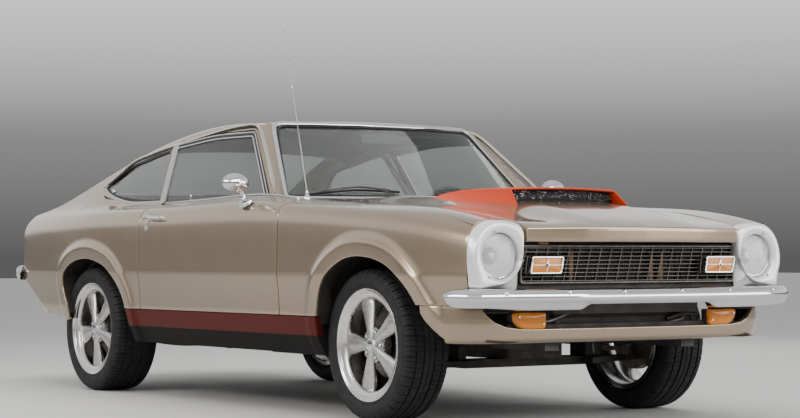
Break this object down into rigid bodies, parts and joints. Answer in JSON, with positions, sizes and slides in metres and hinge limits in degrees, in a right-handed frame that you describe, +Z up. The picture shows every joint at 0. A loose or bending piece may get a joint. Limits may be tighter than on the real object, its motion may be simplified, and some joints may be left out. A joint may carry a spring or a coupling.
{
  "type": "muscle car",
  "caption": "Two-door fastback coupe with a scooped hood, round headlamps, bright bumpers and spoked wheels; doors, hood and trunk open, wheels steer and roll.",
  "frame": {"origin": "on the floor under the middle of the length and the width", "axes": "+X to the car's left, +Y towards the tail (the nose faces -Y), +Z up"},
  "size_m": [1.942, 4.5568, 1.7725],
  "materials": {
    "body_paint": "champagne metallic, gloss",
    "stripe_red": "dark red, gloss",
    "scoop_red": "orange red, gloss",
    "bezel_silver": "silver, gloss",
    "chrome": "polished",
    "black_trim": "satin",
    "window_glass": "clear, slightly tinted",
    "lamp_glass": "clear",
    "amber_lens": "amber",
    "red_lens": "red",
    "tyre_rubber": "matt",
    "wheel_metal": "polished",
    "chassis_black": "painted black",
    "bare_steel": "dull",
    "vinyl_black": "grained"
  },
  "bodies": {
    "chassis": {"floor_pan": "chassis_black", "firewall": "chassis_black", "cowl_panel": "body_paint", "roof": "body_paint", "windshield_pillars": "body_paint", "quarter_panel_left": "body_paint", "quarter_panel_right": "body_paint", "fender_left": "body_paint", "fender_right": "body_paint", "rocker_panels": "stripe_red", "rear_panel": "body_paint", "tail_lamps": "red_lens", "front_valance": "body_paint", "radiator_support": "chassis_black", "radiator": "chassis_black", "grille": "black_trim", "amber_lamps": "amber_lens", "headlamp_bezels": "bezel_silver", "headlamps": "lamp_glass", "front_bumper": "chrome", "rear_bumper": "chrome", "windshield": "window_glass", "rear_window": "window_glass", "quarter_windows": "window_glass", "front_seats": "vinyl_black", "rear_seat": "vinyl_black", "parcel_shelf": "vinyl_black", "dashboard": "black_trim", "steering_wheel": "black_trim", "engine": "chassis_black", "gearbox": "bare_steel", "rear_axle": "chassis_black", "front_suspension": "chassis_black", "exhaust": "bare_steel", "fuel_tank": "bare_steel", "wheelhouses": "chassis_black", "wipers": "black_trim", "antenna": "chrome"},
    "hood": {"hood": "body_paint", "hood_scoop": "scoop_red"},
    "trunk_lid": {"trunk_lid": "body_paint"},
    "door_left": {"door_left": "body_paint", "door_glass_left": "window_glass", "mirror_left": "chrome"},
    "door_right": {"door_right": "body_paint", "door_glass_right": "window_glass", "mirror_right": "chrome"},
    "knuckle_left": {"knuckle_left": "bare_steel"},
    "knuckle_right": {"knuckle_right": "bare_steel"},
    "wheel_front_left": {"wheel_front_left": "wheel_metal", "tyre_front_left": "tyre_rubber"},
    "wheel_front_right": {"wheel_front_right": "wheel_metal", "tyre_front_right": "tyre_rubber"},
    "wheel_rear_left": {"wheel_rear_left": "wheel_metal", "tyre_rear_left": "tyre_rubber"},
    "wheel_rear_right": {"wheel_rear_right": "wheel_metal", "tyre_rear_right": "tyre_rubber"}
  },
  "joints": [
    {"name": "door_left_hinge", "type": "hinge", "parent": "chassis", "child": "door_left", "pos_m": [0.884, -0.7575, 0.6], "axis": [0, 0, -1], "range_deg": [0, 65]},
    {"name": "door_right_hinge", "type": "hinge", "parent": "chassis", "child": "door_right", "pos_m": [-0.884, -0.7575, 0.6], "axis": [0, 0, 1], "range_deg": [0, 65]},
    {"name": "hood_hinge", "type": "hinge", "parent": "chassis", "child": "hood", "pos_m": [0, -0.7965, 0.974], "axis": [-1, 0, 0], "range_deg": [0, 50]},
    {"name": "trunk_hinge", "type": "hinge", "parent": "chassis", "child": "trunk_lid", "pos_m": [0, 1.7415, 1.001], "axis": [1, 0, 0], "range_deg": [0, 60]},
    {"name": "steer_left", "type": "hinge", "parent": "chassis", "child": "knuckle_left", "pos_m": [0.62, -1.3665, 0.322], "axis": [0, 0, 1], "range_deg": [-30, 30]},
    {"name": "steer_right", "type": "hinge", "parent": "chassis", "child": "knuckle_right", "pos_m": [-0.62, -1.3665, 0.322], "axis": [0, 0, 1], "range_deg": [-30, 30]},
    {"name": "spin_front_left", "type": "hinge", "parent": "knuckle_left", "child": "wheel_front_left", "pos_m": [0.7, -1.3665, 0.322], "axis": [1, 0, 0], "continuous": true},
    {"name": "spin_front_right", "type": "hinge", "parent": "knuckle_right", "child": "wheel_front_right", "pos_m": [-0.7, -1.3665, 0.322], "axis": [1, 0, 0], "continuous": true},
    {"name": "spin_rear_left", "type": "hinge", "parent": "chassis", "child": "wheel_rear_left", "pos_m": [0.72, 1.2495, 0.322], "axis": [1, 0, 0], "continuous": true},
    {"name": "spin_rear_right", "type": "hinge", "parent": "chassis", "child": "wheel_rear_right", "pos_m": [-0.72, 1.2495, 0.322], "axis": [1, 0, 0], "continuous": true}
  ],
  "couplings": [
    {"joint": "steer_right", "follows": "steer_left", "ratio": 1}
  ]
}
